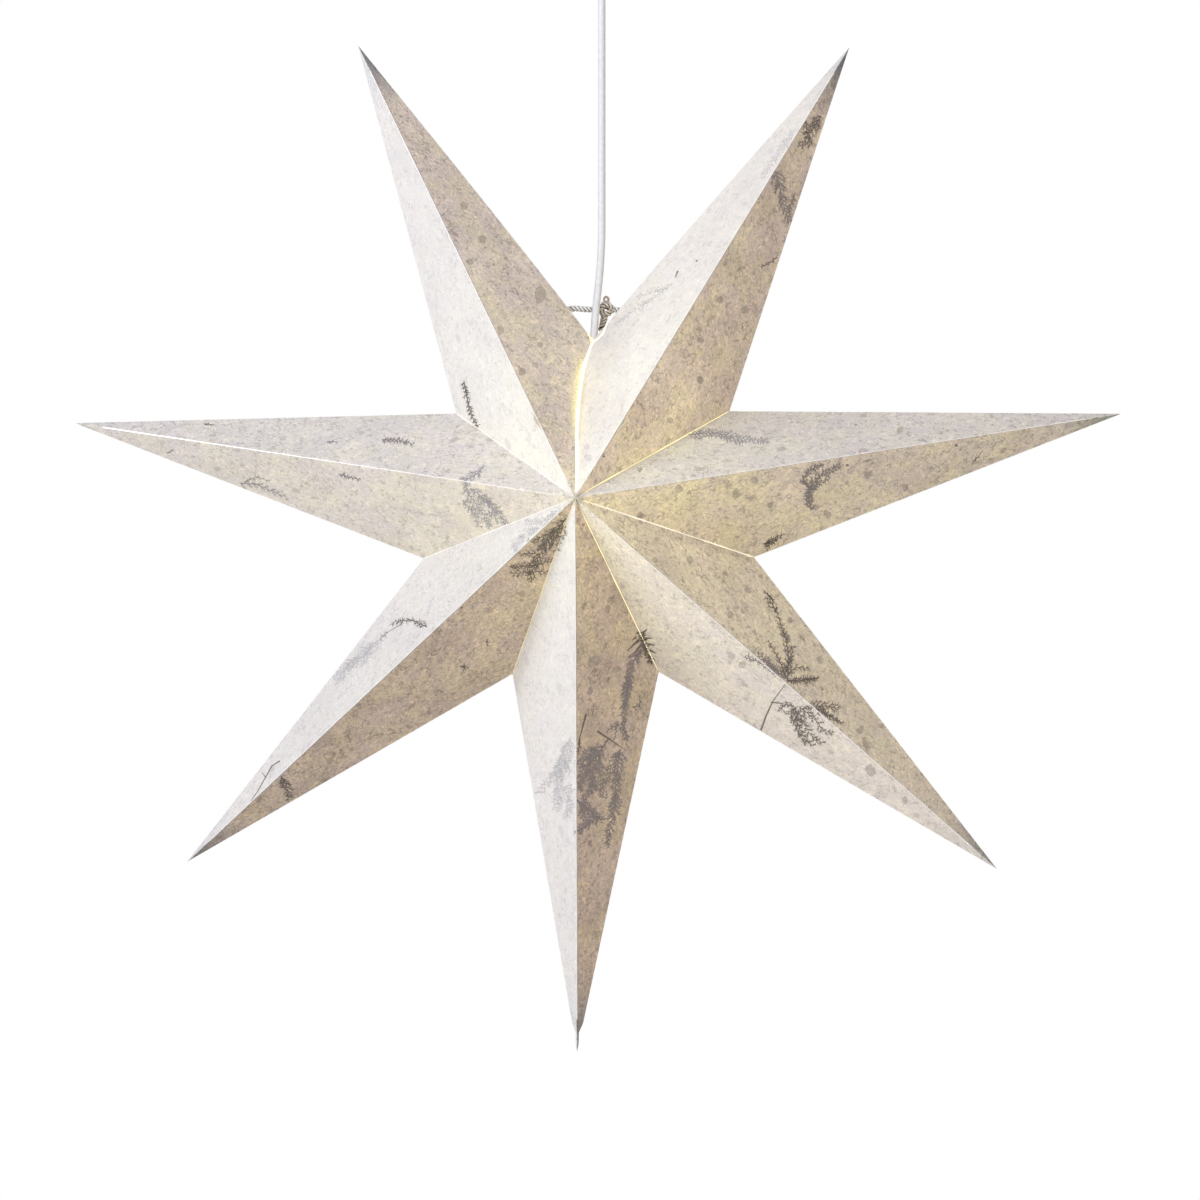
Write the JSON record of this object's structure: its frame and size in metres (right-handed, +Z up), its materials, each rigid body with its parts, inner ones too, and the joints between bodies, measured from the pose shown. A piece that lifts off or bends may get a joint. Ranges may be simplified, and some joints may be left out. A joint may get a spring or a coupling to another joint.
{
  "type": "paper star pendant lamp",
  "caption": "Folded handmade-paper star with long tapering points, hung by a straight white cord from a round ceiling cup, with a small lampholder and bulb inside.",
  "frame": {"origin": "on the ceiling, at the centre of the bracket's two screw holes, straight over the cord", "axes": "+Z up, the star's lit front faces -Y, +X to the right as the front shows it"},
  "size_m": [0.7501, 0.1992, 0.8109],
  "materials": {
    "black_glass": "gloss",
    "blue_core": "matte",
    "brass": "bright",
    "clear_glass": "polished",
    "ivory_block": "satin",
    "paper": "matte",
    "paper_lining": "matte",
    "twine": "twisted",
    "warm_filament": "matte",
    "white_metal": "satin",
    "white_plastic": "satin",
    "white_pvc": "matte",
    "zinc_steel": "zinc plated"
  },
  "bodies": {
    "ceiling_fitting": {"canopy_cup": "white_metal", "ceiling_bracket": "zinc_steel", "cord_gland": "white_plastic", "cord_tail": "white_pvc", "cup_screws": "zinc_steel", "gland_nut": "white_plastic", "tail_cores": "blue_core", "terminal_block": "ivory_block", "terminal_screws": "brass"},
    "pendant": {"centre_contact": "brass", "contact_carrier": "ivory_block", "contact_screws": "brass", "cord": "white_pvc", "cord_grip": "white_plastic", "holder_cores": "blue_core", "lampholder_body": "white_plastic", "lampholder_cap": "white_plastic", "socket_shell": "brass"},
    "bulb": {"bulb_cap": "brass", "bulb_glass": "clear_glass", "bulb_insulator": "black_glass", "bulb_tip": "brass", "filaments": "warm_filament", "glass_stem": "clear_glass"},
    "star": {"seam_strip_left": "paper_lining", "seam_strip_right": "paper_lining", "star_point_1": "paper", "star_point_2": "paper", "star_point_3": "paper", "star_point_4": "paper", "star_point_5": "paper", "star_point_6": "paper", "star_point_7": "paper", "stop_knots": "twine", "tie_knot": "twine", "tie_twine": "twine"}
  },
  "joints": [
    {"name": "swing", "type": "hinge", "parent": "ceiling_fitting", "child": "pendant", "pos_m": [0, 0, -0.041], "axis": [0, 1, 0], "range_deg": [-20, 20]},
    {"name": "star_turn", "type": "hinge", "parent": "pendant", "child": "star", "pos_m": [-0.006, 0, -0.43], "axis": [0, 0, 1], "range_deg": [-180, 180]},
    {"name": "bulb_turn", "type": "hinge", "parent": "pendant", "child": "bulb", "pos_m": [-0.006, 0, -0.43], "axis": [0, 0, 1], "continuous": true}
  ]
}
